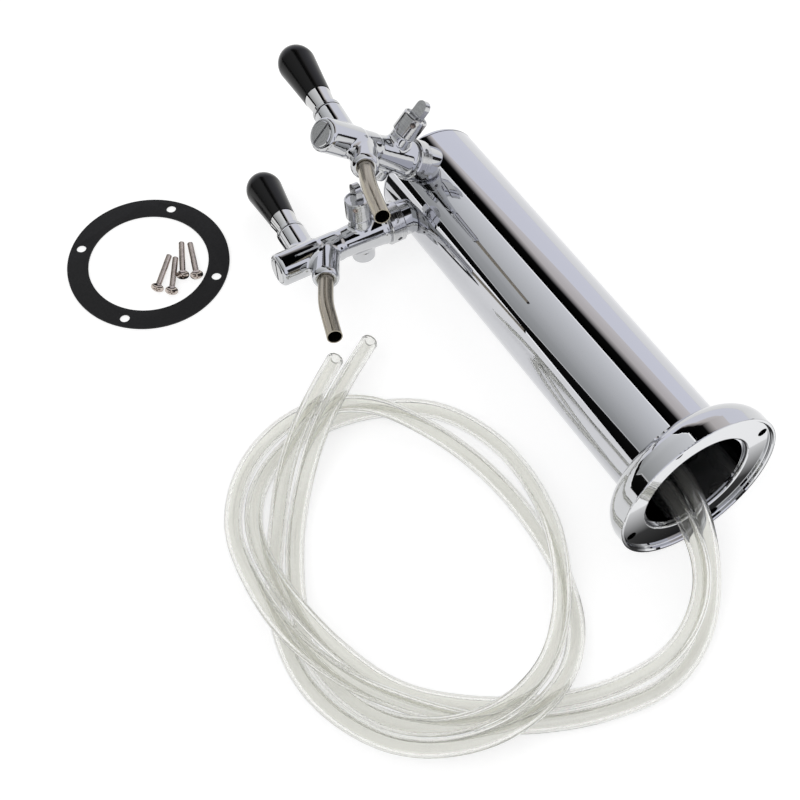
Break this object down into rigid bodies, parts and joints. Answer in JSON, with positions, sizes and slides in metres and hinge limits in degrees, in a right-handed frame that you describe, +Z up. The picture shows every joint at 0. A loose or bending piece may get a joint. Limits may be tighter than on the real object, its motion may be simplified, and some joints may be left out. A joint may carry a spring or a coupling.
{
  "type": "beer tower dispenser",
  "caption": "Chromed bar tower laid on its side, with flow-control beer taps on its top end, clear hoses coiled beside it, base gasket and mounting screws.",
  "frame": {"origin": "bottom centre of the box round the laid tower, its taps, the gasket and the screws, with the hoses left out, on the surface that they lie on", "axes": "+Y along the column from the flange towards the cap, level; +X across it, away from the taps; +Z up"},
  "size_m": [0.3256, 0.5196, 0.1485],
  "materials": {
    "column_steel": "mirror-polished stainless steel",
    "polished_chrome": "bright chrome plating",
    "satin_chrome": "satin chrome plating",
    "ferrule_chrome": "bright chrome plating",
    "brushed_steel": "fine brushed stainless tube",
    "turned_steel": "turned stainless steel",
    "screw_steel": "rolled stainless steel",
    "plated_brass": "nickel-plated brass",
    "grip_plastic": "gloss black moulded handle",
    "piston_plastic": "white acetal",
    "gasket_rubber": "matt black rubber sheet",
    "seal_rubber": "black nitrile rubber",
    "clear_hose": "clear soft PVC"
  },
  "bodies": {
    "tower": {"column_tube": "column_steel", "column_cap": "column_steel", "base_flange": "polished_chrome", "base_gasket": "gasket_rubber", "mounting_screws": "screw_steel", "lock_nuts": "plated_brass", "hose_clamps": "turned_steel", "coupling_seals": "seal_rubber", "tap1_hose": "clear_hose", "tap2_hose": "clear_hose", "tap1_collar": "polished_chrome", "tap1_shank": "plated_brass", "tap1_wall_washer": "plated_brass", "tap1_tail_elbow": "plated_brass", "tap1_coupling_nut": "satin_chrome", "tap1_body": "polished_chrome", "tap1_front_plug": "satin_chrome", "tap1_plug_ring": "seal_rubber", "tap1_spout": "brushed_steel", "tap1_spout_ring": "seal_rubber", "tap1_ball_washer": "plated_brass", "tap1_bonnet": "polished_chrome", "tap2_collar": "polished_chrome", "tap2_shank": "plated_brass", "tap2_wall_washer": "plated_brass", "tap2_tail_elbow": "plated_brass", "tap2_coupling_nut": "satin_chrome", "tap2_body": "polished_chrome", "tap2_front_plug": "satin_chrome", "tap2_plug_ring": "seal_rubber", "tap2_spout": "brushed_steel", "tap2_spout_ring": "seal_rubber", "tap2_ball_washer": "plated_brass", "tap2_bonnet": "polished_chrome"},
    "tap1_handle": {"tap1_lever": "turned_steel", "tap1_lever_collar": "polished_chrome", "tap1_ferrule": "ferrule_chrome", "tap1_grip": "grip_plastic"},
    "tap1_valve": {"tap1_valve_shaft": "turned_steel", "tap1_valve_seal": "seal_rubber", "tap1_seal_nut": "turned_steel"},
    "tap1_knob": {"tap1_control_spindle": "turned_steel", "tap1_control_knob": "satin_chrome", "tap1_knob_screw": "screw_steel"},
    "tap1_piston": {"tap1_flow_piston": "piston_plastic"},
    "tap2_handle": {"tap2_lever": "turned_steel", "tap2_lever_collar": "polished_chrome", "tap2_ferrule": "ferrule_chrome", "tap2_grip": "grip_plastic"},
    "tap2_valve": {"tap2_valve_shaft": "turned_steel", "tap2_valve_seal": "seal_rubber", "tap2_seal_nut": "turned_steel"},
    "tap2_knob": {"tap2_control_spindle": "turned_steel", "tap2_control_knob": "satin_chrome", "tap2_knob_screw": "screw_steel"},
    "tap2_piston": {"tap2_flow_piston": "piston_plastic"}
  },
  "joints": [
    {"name": "tap1_lever_tilt", "type": "hinge", "parent": "tower", "child": "tap1_handle", "pos_m": [0.02839, 0.10626, 0.12306], "axis": [0.6686, 0.0081, 0.7436], "range_deg": [0, 30]},
    {"name": "tap1_valve_slide", "type": "slide", "parent": "tower", "child": "tap1_valve", "axis": [-0.7431, 0.0434, 0.6677], "range_m": [-0.00542, 0]},
    {"name": "tap1_knob_turn", "type": "hinge", "parent": "tower", "child": "tap1_knob", "pos_m": [0.0582, 0.0875, 0.09645], "axis": [0.6686, 0.0081, 0.7436], "range_deg": [0, 90]},
    {"name": "tap1_piston_slide", "type": "slide", "parent": "tower", "child": "tap1_piston", "axis": [-0.7431, 0.0434, 0.6677], "range_m": [-0.00302, 0]},
    {"name": "tap2_lever_tilt", "type": "hinge", "parent": "tower", "child": "tap2_handle", "pos_m": [-0.01335, 0.09066, 0.04071], "axis": [0.043, 0.2303, 0.9722], "range_deg": [0, 30]},
    {"name": "tap2_valve_slide", "type": "slide", "parent": "tower", "child": "tap2_valve", "axis": [-0.999, 0.0028, 0.0435], "range_m": [-0.00542, 0]},
    {"name": "tap2_knob_turn", "type": "hinge", "parent": "tower", "child": "tap2_knob", "pos_m": [0.02747, 0.074, 0.04285], "axis": [0.043, 0.2303, 0.9722], "range_deg": [0, 90]},
    {"name": "tap2_piston_slide", "type": "slide", "parent": "tower", "child": "tap2_piston", "axis": [-0.999, 0.0028, 0.0435], "range_m": [-0.00302, 0]}
  ],
  "couplings": [
    {"joint": "tap1_valve_slide", "follows": "tap1_lever_tilt", "m_per_rad": -0.010294},
    {"joint": "tap1_piston_slide", "follows": "tap1_knob_turn", "m_per_rad": -0.0019099},
    {"joint": "tap2_valve_slide", "follows": "tap2_lever_tilt", "m_per_rad": -0.010294},
    {"joint": "tap2_piston_slide", "follows": "tap2_knob_turn", "m_per_rad": -0.0019099}
  ]
}
